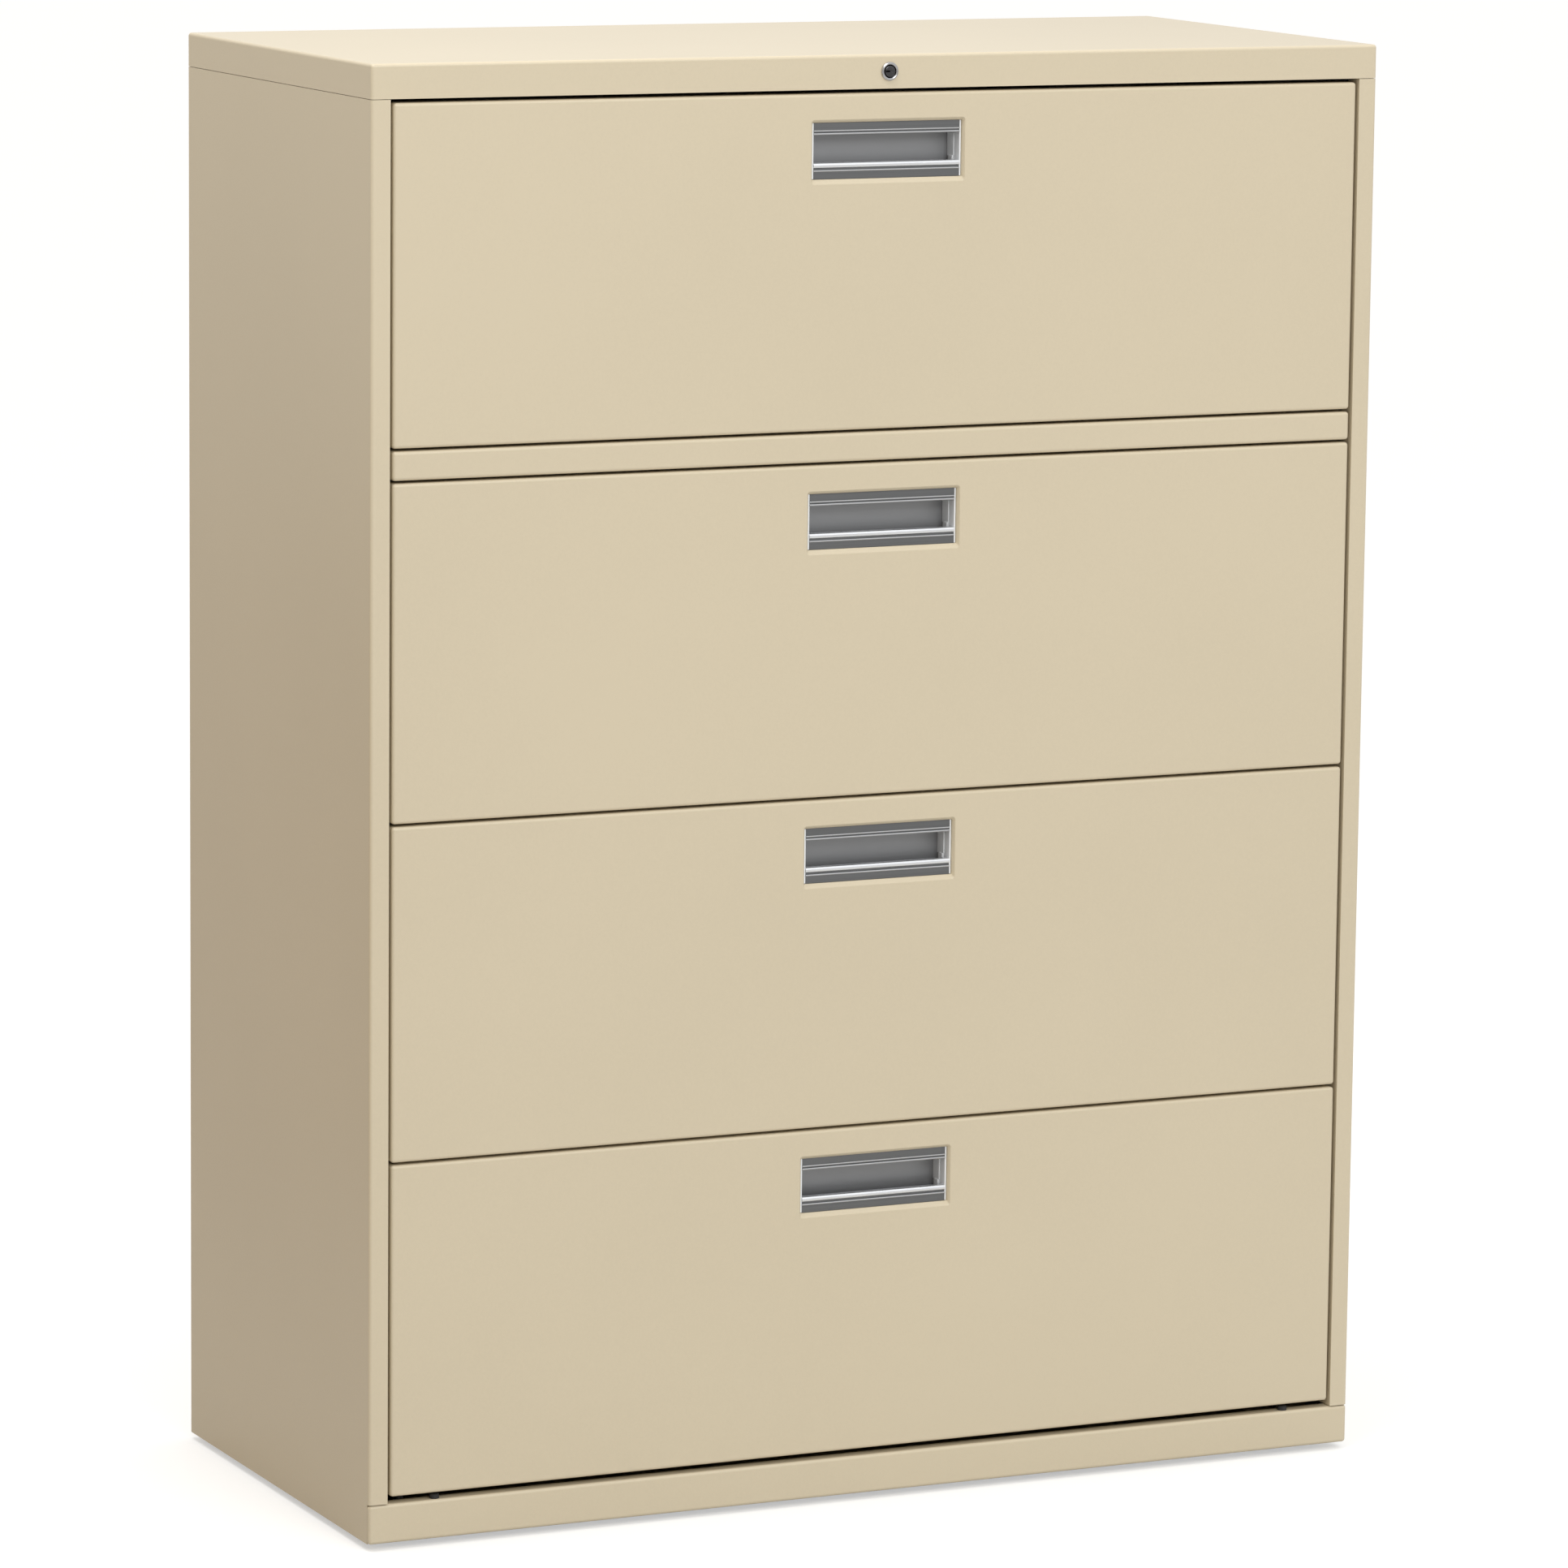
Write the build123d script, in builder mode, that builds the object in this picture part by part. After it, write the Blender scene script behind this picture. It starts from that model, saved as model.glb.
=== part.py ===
from build123d import *
import os

os.makedirs("parts", exist_ok=True)

# Four-drawer lateral filing cabinet, millimetres, +Z up.
# The front faces -Y. The origin is on the floor under the middle of the bounding box.

# ---- Driving dimensions ----

# Case
width = 1000.0
depth = 457.2
sheet = 1.0              # painted sheet steel
corner = 3.0             # outside radius of the folded edges that show
stile = 18.0             # front face of each side panel
stile_return = 20.0      # fold behind the stile's inner edge
rear_flange = 15.0
top_flange = 10.0        # side panel top flange and the cap's hem above it
bottom_flange = 40.0
seam = 0.5               # painted joint between neighbouring case pieces
fit = 0.3                # clearance of a piece inside its seat

# Height stack, from the floor up
foot_height = 6.5        # case above the floor, glides screwed in
rail_height = 36.0       # base front rail
base_gap = 6.5           # open gap over the base rail
drawer_height = 303.5    # drawer front
drawer_gap = 2.5         # gap between neighbouring fronts
filler_height = 26.0     # filler rail between drawers 1 and 2
cap_gap = 3.5
cap_height = 31.0
rail_depth = 14.0
rail_wrap = 4.0          # rail's ends turn this far round the case's corners
filler_bracket = 48.0    # length of the filler rail's brackets
reveal = 3.0             # gap between a drawer front and a stile

# Base
pan_flange = 28.0
weight_length, weight_depth, weight_height = 600.0, 80.0, 24.0
weight_bolt, weight_bolt_head, weight_bolt_head_height = 10.0, 17.0, 6.0
weight_bolt_spacing = 480.0
weight_setback = 50.0    # counterweight centre ahead of the back panel
glide_foot, glide_foot_height = 30.0, 5.0
glide_stem, glide_stem_length = 9.5, 40.0
glide_inset = 48.0       # glide axis from the case sides, front and back
stem_clearance = 1.0     # round a glide's stem in the base pan
bracket_plate, bracket_thickness = 46.0, 3.0
bracket_boss, bracket_boss_height = 18.0, 20.0
bumper_diameter, bumper_height, bumper_round = 9.0, 4.0, 1.3
bumper_inset = 45.0      # bumper from the drawer front's end

# Uprights and slides
upright_width = 26.0     # front to back
upright_thickness = 16.0
upright_setback = 24.0   # front uprights and slides behind the front face
upright_top_drop = 18.0  # uprights stop this far under the cap
upright_rear_inset = 8.0 # rear uprights ahead of the slides' rear ends
slot_width, slot_height, slot_pitch = 3.2, 12.0, 25.4
slide_thickness = 12.7
slide_height = 46.0
slide_steel = 1.2
slide_lip = 2.2          # outer and middle members stop this far from the drawer tray
slide_rear_space = 33.2  # room behind the slides to the back of the case
slide_level = 72.0       # slide centre above the drawer front's lower edge
web_gap = 1.0            # between the webs of nested members
ball_gap = 3.5           # between nested flanges
ball_diameter = 2.9
balls_per_row = 6
cage_thickness = 1.0
cage_width = 5.0
cage_end = 8.0           # cage stops this far from the slide's end

# Drawers
front_depth = 20.0
front_lip = 12.0
tray_bottom = 12.0       # above the drawer front's lower edge
tray_height = 245.0
tray_front_height = 200.0
tray_rear_gap = 2.0
rail_bar, rail_bar_height = 2.0, 14.0
hang_rail_inset = 22.0   # hanging rails from the tray's front and rear walls
hang_rail_rise = 3.0     # rails stand over the tray's side walls

# Pull
pull_width = 149.0
pull_height = 51.0
pull_drop = 26.0         # opening below the drawer front's top edge
pull_corner = 3.0
rim = 3.0                # turned rim of the front sheet round the opening
rim_depth = 8.0
rim_radius = 2.4
pull_depth = 29.0
pull_wall = 1.6
pull_set = 4.0           # pull's bands behind the drawer's face
lower_band = 14.5
upper_band = 10.5
grip_lip = 6.0
rib = 0.8
rib_edge = 1.6           # first rib from the band's edge at the slot
rib_pitch = 2.4
end_cap = 1.5

# Lock
lock_proud = 2.0
bezel_diameter = 17.0
barrel_diameter = 14.0
barrel_length = 22.0
plug_diameter = 10.0
plug_recess = 0.8        # plug's face behind the bezel's
lock_nut, lock_nut_thickness = 20.0, 3.0
key_slot_width, key_slot_height, key_slot_depth = 4.5, 1.4, 5.0
cam_radius = 8.0
cam_width = 9.0
cam_thickness = 2.0
cam_gap = 1.0            # between the barrel and the cam
cam_pin = 4.0
cam_play = 0.6           # between the cam's pin and the link's slot
link_height = 14.0
link_thickness = 1.5
link_end = 10.0          # link past the middle of the cam pin's slot
pin_end = 1.0            # a pin past the piece it passes through
link_setback = 26.0
link_pin = 5.0
link_pin_inset = 21.0    # link's pin from the upright's face
bar_width = 12.0
bar_thickness = 2.0
bar_setback = 30.0
bar_plate = 34.0         # slotted plate beside the top of the bar
hook_thickness, hook_height = 3.0, 8.0
hook_setback = 36.0
catch_level = 150.0      # drawer catch above the drawer front's lower edge
catch_height, catch_thickness, catch_reach = 6.0, 3.0, 9.5
catch_setback = 41.0
catch_gap = 4.0          # hook over the catch when unlocked
window_play = 3.0        # round a hook in the upright's window
hook_reach = 4.0         # hooks end this far from the drawer tray
guide_width, guide_height = 17.0, 18.0
guide_gap = 2.0          # lower guide under the lowest window
hanger_width = 12.0
hanger_wall = 1.5
hanger_places = (0.25, 0.8)  # along the link, from the lock to its far pin

# ---- Places that follow ----

front = -(depth + lock_proud) / 2 + lock_proud
back = front + depth
mid_y = (front + back) / 2
side = width / 2
stile_edge = side - stile
front_half = stile_edge - reveal
panel_face = side - sheet

case_bottom = foot_height
rail_top = case_bottom + rail_height
bottom_4 = rail_top + base_gap
bottom_3 = bottom_4 + drawer_height + drawer_gap
bottom_2 = bottom_3 + drawer_height + drawer_gap
filler_bottom = bottom_2 + drawer_height + drawer_gap
bottom_1 = filler_bottom + filler_height + drawer_gap
cap_bottom = bottom_1 + drawer_height + cap_gap
cap_top = cap_bottom + cap_height
drawer_bottoms = (bottom_1, bottom_2, bottom_3, bottom_4)
panel_top = cap_bottom - seam
pan_bottom = case_bottom + sheet
pan_top = pan_bottom + sheet

upright_face = panel_face - upright_thickness
upright_front = front + upright_setback
upright_top = cap_bottom - upright_top_drop
slide_length = depth - upright_setback - slide_rear_space
slide_end = upright_front + slide_length
rear_upright_front = slide_end - upright_width - upright_rear_inset
tray_half = upright_face - slide_thickness
tray_front = front + front_depth
tray_rear = slide_end - tray_rear_gap
wall_top = tray_bottom + tray_height
pull_bottom = drawer_height - pull_drop - pull_height
pull_middle = pull_bottom + pull_height / 2
lock_level = cap_bottom + cap_height / 2

face_plane = Plane.XZ.offset(-front)
low = Align.MIN
mid = Align.CENTER
high = Align.MAX


# ---- Case ----

# Side panel: one folded sheet with stile, stile return, rear flange and two shelf flanges.
# Below the top of the base rail its front corner is cut away for that rail.
with BuildPart() as right_side_panel:
    with BuildSketch(Plane.XY.offset(case_bottom)):
        with Locations((0, mid_y)):
            RectangleRounded(width, depth, corner)
            RectangleRounded(width - 2 * sheet, depth - 2 * sheet, corner - sheet, mode=Mode.SUBTRACT)
        with Locations((stile_edge, front)):
            Rectangle(width, depth, align=(high, low), mode=Mode.SUBTRACT)
            Rectangle(sheet, stile_return, align=(low, low))
        with Locations((side - rear_flange, back)):
            Rectangle(stile, rear_flange, align=(high, high), mode=Mode.SUBTRACT)
    extrude(amount=panel_top - case_bottom)
    with Locations((stile_edge, front, case_bottom)):
        Box(stile, rail_wrap + seam, rail_height + seam, align=(low, low, low), mode=Mode.SUBTRACT)
        Box(stile - sheet, stile_return, rail_height + seam, align=(low, low, low), mode=Mode.SUBTRACT)
    with Locations((panel_face, front + rail_depth + seam + sheet, case_bottom)):
        Box(bottom_flange, depth - rail_depth - seam - 2 * sheet, sheet, align=(high, low, low))
    with Locations((panel_face, mid_y, panel_top)):
        Box(top_flange - sheet, depth - 2 * sheet, sheet, align=(high, mid, high))
right_side_panel.part.label = "right_side_panel"
export_step(right_side_panel.part, "parts/right_side_panel.step")

with BuildPart() as left_side_panel:
    mirror(right_side_panel.part, about=Plane.YZ)
left_side_panel.part.label = "left_side_panel"
export_step(left_side_panel.part, "parts/left_side_panel.step")

# Back panel: flat sheet against the rear flanges, standing on the side panels' bottom flanges
with BuildPart() as back_panel:
    with Locations((0, back - sheet, pan_bottom)):
        Box(2 * (side - corner), sheet, panel_top - sheet - fit - pan_bottom, align=(mid, high, low))
back_panel.part.label = "back_panel"
export_step(back_panel.part, "parts/back_panel.step")

# Top cap: shallow pan upside down, hemmed inwards over the side panels' top flanges
with BuildPart() as top_cap:
    with BuildSketch(Plane.XY.offset(cap_bottom)):
        with Locations((0, mid_y)):
            RectangleRounded(width, depth, corner)
    extrude(amount=cap_height)
    fillet(top_cap.faces().sort_by(Axis.Z)[-1].edges(), corner)
    offset(amount=-sheet, openings=top_cap.faces().sort_by(Axis.Z)[0])
    with BuildSketch(Plane.XY.offset(cap_bottom)):
        with Locations((0, mid_y)):
            RectangleRounded(width, depth, corner)
            Rectangle(width - 2 * top_flange, depth - 2 * top_flange, mode=Mode.SUBTRACT)
    extrude(amount=sheet)
    with BuildSketch(face_plane):
        with Locations((0, lock_level)):
            Circle(barrel_diameter / 2 + fit)
    extrude(amount=-2 * sheet, mode=Mode.SUBTRACT)
top_cap.part.label = "top_cap"
export_step(top_cap.part, "parts/top_cap.step")

# Base front rail: full-width pan, open at the back, with rounded edges all round its face.
# Behind its rounded ends it narrows to pass between the side panels.
with BuildPart() as base_front_rail:
    with Locations((0, front, case_bottom)):
        Box(width, rail_depth, rail_height, align=(mid, low, low))
    rail_edges = base_front_rail.faces().sort_by(Axis.Y)[0].edges()
    fillet(rail_edges + base_front_rail.edges().filter_by(Axis.Y), corner)
    offset(amount=-sheet, openings=base_front_rail.faces().sort_by(Axis.Y)[-1])
    with Locations((panel_face - fit, front + rail_wrap, case_bottom)):
        Box(stile, rail_depth, rail_height, align=(low, low, low), mode=Mode.SUBTRACT)
    with Locations((fit - panel_face, front + rail_wrap, case_bottom)):
        Box(stile, rail_depth, rail_height, align=(high, low, low), mode=Mode.SUBTRACT)
base_front_rail.part.label = "base_front_rail"
export_step(base_front_rail.part, "parts/base_front_rail.step")

# Base pan: floor on the side panels' bottom flanges, turned up behind the rail and at the back.
# Holes let the glide stems through.
glide_places = [
    (sign * (side - glide_inset), y)
    for y in (front + glide_inset, back - glide_inset)
    for sign in (-1, 1)
]
pan_front = front + rail_depth + seam
pan_rear = back - 2 * sheet - fit
with BuildPart() as base_pan:
    with Locations((0, pan_front, pan_bottom)):
        Box(2 * (panel_face - fit), pan_rear - pan_front, sheet, align=(mid, low, low))
        Box(2 * (stile_edge - fit), sheet, pan_flange, align=(mid, low, low))
    with Locations((0, pan_rear, pan_bottom)):
        Box(2 * (stile_edge - fit), sheet, pan_flange, align=(mid, high, low))
    with BuildSketch(Plane.XY.offset(pan_bottom)):
        with Locations(*glide_places):
            Circle(glide_stem / 2 + stem_clearance)
    extrude(amount=sheet, mode=Mode.SUBTRACT)
base_pan.part.label = "base_pan"
export_step(base_pan.part, "parts/base_pan.step")

# Rubber bumpers on the base rail, under the ends of the lowest drawer front
with BuildPart() as base_bumpers:
    with BuildSketch(Plane.XY.offset(rail_top)):
        with Locations((front_half - bumper_inset, front + rail_depth / 2)):
            Circle(bumper_diameter / 2)
    extrude(amount=bumper_height)
    fillet(base_bumpers.faces().sort_by(Axis.Z)[-1].edges(), bumper_round)
    mirror(about=Plane.YZ)
base_bumpers.part.label = "base_bumpers"
export_step(base_bumpers.part, "parts/base_bumpers.step")

# Filler rail: rounded pan between the stiles, carried by a bracket at each end
filler_depth = upright_setback - 2 * sheet
with BuildPart() as filler_rail:
    with Locations((0, front, filler_bottom)):
        Box(2 * front_half, filler_depth, filler_height, align=(mid, low, low))
    rail_edges = filler_rail.faces().sort_by(Axis.Y)[0].edges()
    fillet(rail_edges + filler_rail.edges().filter_by(Axis.Y), corner)
    offset(amount=-sheet, openings=filler_rail.faces().sort_by(Axis.Y)[-1])
filler_rail.part.label = "filler_rail"
export_step(filler_rail.part, "parts/filler_rail.step")

with BuildPart() as filler_brackets:
    with Locations((panel_face - fit, upright_front, filler_bottom + corner)):
        Box(filler_bracket, 2 * sheet, filler_height - 2 * corner, align=(high, high, low))
    mirror(about=Plane.YZ)
filler_brackets.part.label = "filler_brackets"
export_step(filler_brackets.part, "parts/filler_brackets.step")

# Counterweight: steel slab on the base pan at the back, held by two bolts
weight_y = back - 2 * sheet - weight_setback
weight_top = pan_top + weight_height
with BuildPart() as counterweight:
    with Locations((0, weight_y, pan_top)):
        Box(weight_length, weight_depth, weight_height, align=(mid, mid, low))
    with Locations((0, weight_y, weight_top)):
        with GridLocations(weight_bolt_spacing, 0, 2, 1):
            Hole(weight_bolt / 2 + fit, weight_height)
counterweight.part.label = "counterweight"
export_step(counterweight.part, "parts/counterweight.step")

with BuildPart() as counterweight_bolts:
    with BuildSketch(Plane.XY.offset(weight_top)):
        with Locations((-weight_bolt_spacing / 2, weight_y), (weight_bolt_spacing / 2, weight_y)):
            RegularPolygon(weight_bolt_head / 2, 6)
    extrude(amount=weight_bolt_head_height)
    with BuildSketch(Plane.XY.offset(pan_top)):
        with Locations((-weight_bolt_spacing / 2, weight_y), (weight_bolt_spacing / 2, weight_y)):
            Circle(weight_bolt / 2)
    extrude(amount=weight_height)
counterweight_bolts.part.label = "counterweight_bolts"
export_step(counterweight_bolts.part, "parts/counterweight_bolts.step")

# Glide brackets: plate with a threaded boss in each corner of the base pan
with BuildPart() as glide_brackets:
    with BuildSketch(Plane.XY.offset(pan_top)):
        with Locations(*glide_places):
            Rectangle(bracket_plate, bracket_plate)
    extrude(amount=bracket_thickness)
    with BuildSketch(Plane.XY.offset(pan_top)):
        with Locations(*glide_places):
            Circle(bracket_boss / 2)
    extrude(amount=bracket_boss_height)
    with BuildSketch(Plane.XY.offset(pan_top)):
        with Locations(*glide_places):
            Circle(glide_stem / 2 + fit)
    extrude(amount=bracket_boss_height, mode=Mode.SUBTRACT)
glide_brackets.part.label = "glide_brackets"
export_step(glide_brackets.part, "parts/glide_brackets.step")

# Levelling glides: foot and stem, screwed into the brackets
glide_names = ("glide_front_left", "glide_front_right", "glide_rear_left", "glide_rear_right")
for name, (x, y) in zip(glide_names, glide_places):
    with BuildPart() as glide:
        with Locations((x, y, 0)):
            Cylinder(glide_foot / 2, glide_foot_height, align=(mid, mid, low))
        fillet(glide.edges().sort_by(Axis.Z)[-1], glide_foot_height / 2)
        with Locations((x, y, glide_foot_height)):
            Cylinder(glide_stem / 2, glide_stem_length, align=(mid, mid, low))
    glide.part.label = name
    export_step(glide.part, f"parts/{name}.step")


# ---- Uprights ----

# Slotted channels on the side panels, open towards them. The front right one also has
# a window for each hook of the lock bar.
catch_top = catch_level + catch_height
hook_bottom = catch_top + catch_gap
link_travel = 2 * cam_radius * 0.5 ** 0.5
window_bottom = hook_bottom - link_travel - window_play
window_height = hook_height + link_travel + 2 * window_play
slot_count = int((upright_top - pan_top - 2 * slot_pitch) / slot_pitch)
with BuildPart() as uprights:
    for channel_front in (upright_front, rear_upright_front):
        channel_mid = channel_front + upright_width / 2
        with Locations((upright_face, channel_mid, pan_top)):
            Box(upright_thickness, upright_width, upright_top - pan_top, align=(low, mid, low))
        with Locations((upright_face + sheet, channel_mid, pan_top)):
            Box(
                upright_thickness, upright_width - 2 * sheet, upright_top - pan_top,
                align=(low, mid, low), mode=Mode.SUBTRACT,
            )
        with BuildSketch(Plane.YZ.offset(upright_face)):
            with Locations((channel_front + upright_width / 4, (pan_top + upright_top) / 2)):
                with GridLocations(0, slot_pitch, 1, slot_count):
                    Rectangle(slot_width, slot_height)
        extrude(amount=sheet, mode=Mode.SUBTRACT)
    mirror(about=Plane.YZ)
    for bottom in drawer_bottoms:
        with Locations((upright_face, front + hook_setback - window_play, bottom + window_bottom)):
            Box(
                sheet, hook_thickness + 2 * window_play, window_height,
                align=(low, low, low), mode=Mode.SUBTRACT,
            )
uprights.part.label = "uprights"
export_step(uprights.part, "parts/uprights.step")


# ---- Lock ----

# Housing: bezel, barrel and the nut behind the cap's skirt, with a bore for the plug
plug_bore = plug_diameter / 2 + fit
with BuildPart() as lock_housing:
    with BuildSketch(Plane.XZ.offset(lock_proud - front)):
        with Locations((0, lock_level)):
            Circle(bezel_diameter / 2)
    extrude(amount=-lock_proud)
    fillet(lock_housing.edges().sort_by(Axis.Y)[0], lock_proud / 2)
    with BuildSketch(face_plane):
        with Locations((0, lock_level)):
            Circle(barrel_diameter / 2)
    extrude(amount=-barrel_length)
    with BuildSketch(face_plane.offset(-sheet)):
        with Locations((0, lock_level)):
            RegularPolygon(lock_nut / 2, 6)
    extrude(amount=-lock_nut_thickness)
    with BuildSketch(Plane.XZ.offset(lock_proud - front)):
        with Locations((0, lock_level)):
            Circle(plug_bore)
    extrude(amount=-lock_proud - barrel_length, mode=Mode.SUBTRACT)
lock_housing.part.label = "lock_housing"
export_step(lock_housing.part, "parts/lock_housing.step")

# Plug: turns about Y in the housing, with a key slot and a cam whose pin works the link.
# Unlocked, the cam points down and to the left, halfway through its swing from straight down.
cam_offset = cam_radius * 0.5 ** 0.5
cam_start = barrel_length + cam_gap
with BuildPart() as lock_plug:
    with BuildSketch(Plane.XZ.offset(lock_proud - plug_recess - front)):
        with Locations((0, lock_level)):
            Circle(plug_diameter / 2)
    extrude(amount=-(lock_proud - plug_recess + cam_start))
    with BuildSketch(face_plane.offset(-cam_start)):
        with Locations(Location((-cam_offset / 2, lock_level - cam_offset / 2), -135)):
            SlotCenterToCenter(cam_radius, cam_width)
    extrude(amount=-cam_thickness)
    with BuildSketch(face_plane.offset(-cam_start - cam_thickness)):
        with Locations((-cam_offset, lock_level - cam_offset)):
            Circle(cam_pin / 2)
    extrude(amount=-(link_setback + link_thickness + pin_end - cam_start - cam_thickness))
    with BuildSketch(Plane.XZ.offset(lock_proud - plug_recess - front)):
        with Locations((0, lock_level)):
            Rectangle(key_slot_width, key_slot_height, align=(high, mid))
    extrude(amount=-key_slot_depth, mode=Mode.SUBTRACT)
lock_plug.part.label = "lock_plug"
export_step(lock_plug.part, "parts/lock_plug.step")

# Link: flat bar behind the cap's skirt. The cam slides it to the right.
link_top = lock_level
link_mid = link_top - link_height / 2
link_pin_x = upright_face - link_pin_inset
link_left = -cam_offset - link_end
link_right = link_pin_x + link_pin
with BuildPart() as lock_link:
    with BuildSketch(face_plane.offset(-link_setback)):
        with Locations((link_left, link_mid)):
            Rectangle(link_right - link_left, link_height, align=(low, mid))
        with Locations((-cam_offset, lock_level - (cam_radius + cam_offset) / 2)):
            Rectangle(
                cam_pin + 2 * cam_play, cam_radius - cam_offset + cam_pin + 2 * cam_play,
                mode=Mode.SUBTRACT,
            )
    extrude(amount=-link_thickness)
    with BuildSketch(face_plane.offset(-link_setback - link_thickness)):
        with Locations((link_pin_x, link_mid)):
            Circle(link_pin / 2)
    extrude(amount=-(bar_setback + bar_thickness + pin_end - link_setback - link_thickness))
lock_link.part.label = "lock_link"
export_step(lock_link.part, "parts/lock_link.step")

# Link guides: two loops hanging from the cap
with BuildPart() as link_guides:
    for share in hanger_places:
        with Locations((share * link_pin_x, front + link_setback + link_thickness / 2, cap_top - sheet)):
            Box(
                hanger_width, link_thickness + 2 * (hanger_wall + fit),
                cap_top - sheet - link_mid + link_height / 2 + fit + hanger_wall,
                align=(mid, mid, high),
            )
        with Locations((share * link_pin_x, front + link_setback + link_thickness / 2, link_mid)):
            Box(
                hanger_width, link_thickness + 2 * fit, link_height + 2 * fit,
                mode=Mode.SUBTRACT,
            )
link_guides.part.label = "link_guides"
export_step(link_guides.part, "parts/link_guides.step")

# Lock bar: strip that runs down inside the front right upright
bar_face = upright_face + sheet + 2 * fit
bar_bottom = bottom_4 + window_bottom - guide_gap - guide_height - link_travel
slot_end_x = link_pin_x + link_travel / 2
slot_end_z = link_mid + link_travel / 2
plate_top = slot_end_z + link_travel / 2 + link_pin
with BuildPart() as lock_bar:
    with Locations((bar_face, front + bar_setback, bar_bottom)):
        Box(bar_thickness, bar_width, plate_top - bar_bottom, align=(low, low, low))
lock_bar.part.label = "lock_bar"
export_step(lock_bar.part, "parts/lock_bar.step")

# Fittings on the bar. The slanted slot in the top plate turns the link's travel into the same
# travel downwards, and each hook then stands before a drawer's catch.
with BuildPart() as lock_bar_fittings:
    with Locations((bar_face, front + bar_setback, link_mid - link_pin)):
        Box(bar_plate, bar_thickness, plate_top - link_mid + link_pin, align=(high, low, low))
    with BuildSketch(face_plane.offset(-bar_setback)):
        with Locations(Location((slot_end_x, slot_end_z), 45)):
            SlotCenterToCenter(link_travel * 2 ** 0.5, link_pin + 2 * fit)
    extrude(amount=-bar_thickness, mode=Mode.SUBTRACT)
    for bottom in drawer_bottoms:
        with Locations((bar_face, front + hook_setback, bottom + hook_bottom)):
            Box(
                bar_face - tray_half - hook_reach, hook_thickness, hook_height,
                align=(high, low, low),
            )
lock_bar_fittings.part.label = "lock_bar_fittings"
export_step(lock_bar_fittings.part, "parts/lock_bar_fittings.step")

# Lock bar guides: plastic blocks in the upright, just under the lowest and over the top window
with BuildPart() as bar_guides:
    for level in (bottom_4 + window_bottom - guide_gap - guide_height, bottom_1 + window_bottom + window_height):
        with Locations((upright_face + sheet, front + bar_setback + bar_width / 2, level)):
            Box(
                upright_thickness - sheet, guide_width, guide_height,
                align=(low, mid, low),
            )
            Box(
                bar_face + bar_thickness + fit - upright_face - sheet,
                bar_width + 2 * fit, guide_height,
                align=(low, mid, low), mode=Mode.SUBTRACT,
            )
bar_guides.part.label = "bar_guides"
export_step(bar_guides.part, "parts/bar_guides.step")


# ---- Slides ----

# Nested channels, drawn at the right and mirrored, with z = 0 at the drawer front's lower edge
outer_half = slide_height / 2
middle_half = outer_half - slide_steel - ball_gap
inner_half = middle_half - slide_steel - ball_gap
lip_x = tray_half + slide_lip
middle_web = upright_face - slide_steel - web_gap
inner_tip = middle_web - slide_steel - web_gap
slide_plane = Plane.XZ.offset(-upright_front)

with BuildPart() as slide_outer:
    with BuildSketch(slide_plane):
        with Locations((upright_face, slide_level)):
            Rectangle(upright_face - lip_x, 2 * outer_half, align=(high, mid))
        with Locations((upright_face - slide_steel, slide_level)):
            Rectangle(slide_thickness, 2 * (outer_half - slide_steel), align=(high, mid), mode=Mode.SUBTRACT)
    extrude(amount=-slide_length)
    mirror(about=Plane.YZ)

with BuildPart() as slide_middle:
    with BuildSketch(slide_plane):
        with Locations((middle_web, slide_level)):
            Rectangle(middle_web - lip_x, 2 * middle_half, align=(high, mid))
        with Locations((middle_web - slide_steel, slide_level)):
            Rectangle(slide_thickness, 2 * (middle_half - slide_steel), align=(high, mid), mode=Mode.SUBTRACT)
    extrude(amount=-slide_length)
    mirror(about=Plane.YZ)

with BuildPart() as slide_inner:
    with BuildSketch(slide_plane):
        with Locations((tray_half, slide_level)):
            Rectangle(inner_tip - tray_half, 2 * inner_half, align=(low, mid))
        with Locations((tray_half + slide_steel, slide_level)):
            Rectangle(slide_thickness, 2 * (inner_half - slide_steel), align=(low, mid), mode=Mode.SUBTRACT)
    extrude(amount=-slide_length)
    mirror(about=Plane.YZ)

# Ball cages: strips of balls above and below the middle member. The outer rows sit in its rear half
# and the inner rows in its front half, where the neighbouring member stays over the whole travel.
outer_row = middle_half + ball_gap / 2
inner_row = middle_half - slide_steel - ball_gap / 2
cage_length = slide_length / 2 - 2 * cage_end
cage_x = (lip_x + inner_tip) / 2
outer_cage_y = upright_front + slide_length * 3 / 4
inner_cage_y = upright_front + slide_length / 4
ball_pitch = cage_length / balls_per_row
with BuildPart() as ball_cages:
    for row, cage_y in ((outer_row, outer_cage_y), (inner_row, inner_cage_y)):
        for level in (slide_level - row, slide_level + row):
            with Locations((cage_x, cage_y, level)):
                Box(cage_width, cage_length, cage_thickness)
                with GridLocations(0, ball_pitch, 1, balls_per_row):
                    Sphere(ball_diameter / 2)
    mirror(about=Plane.YZ)


# ---- Drawers ----

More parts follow.
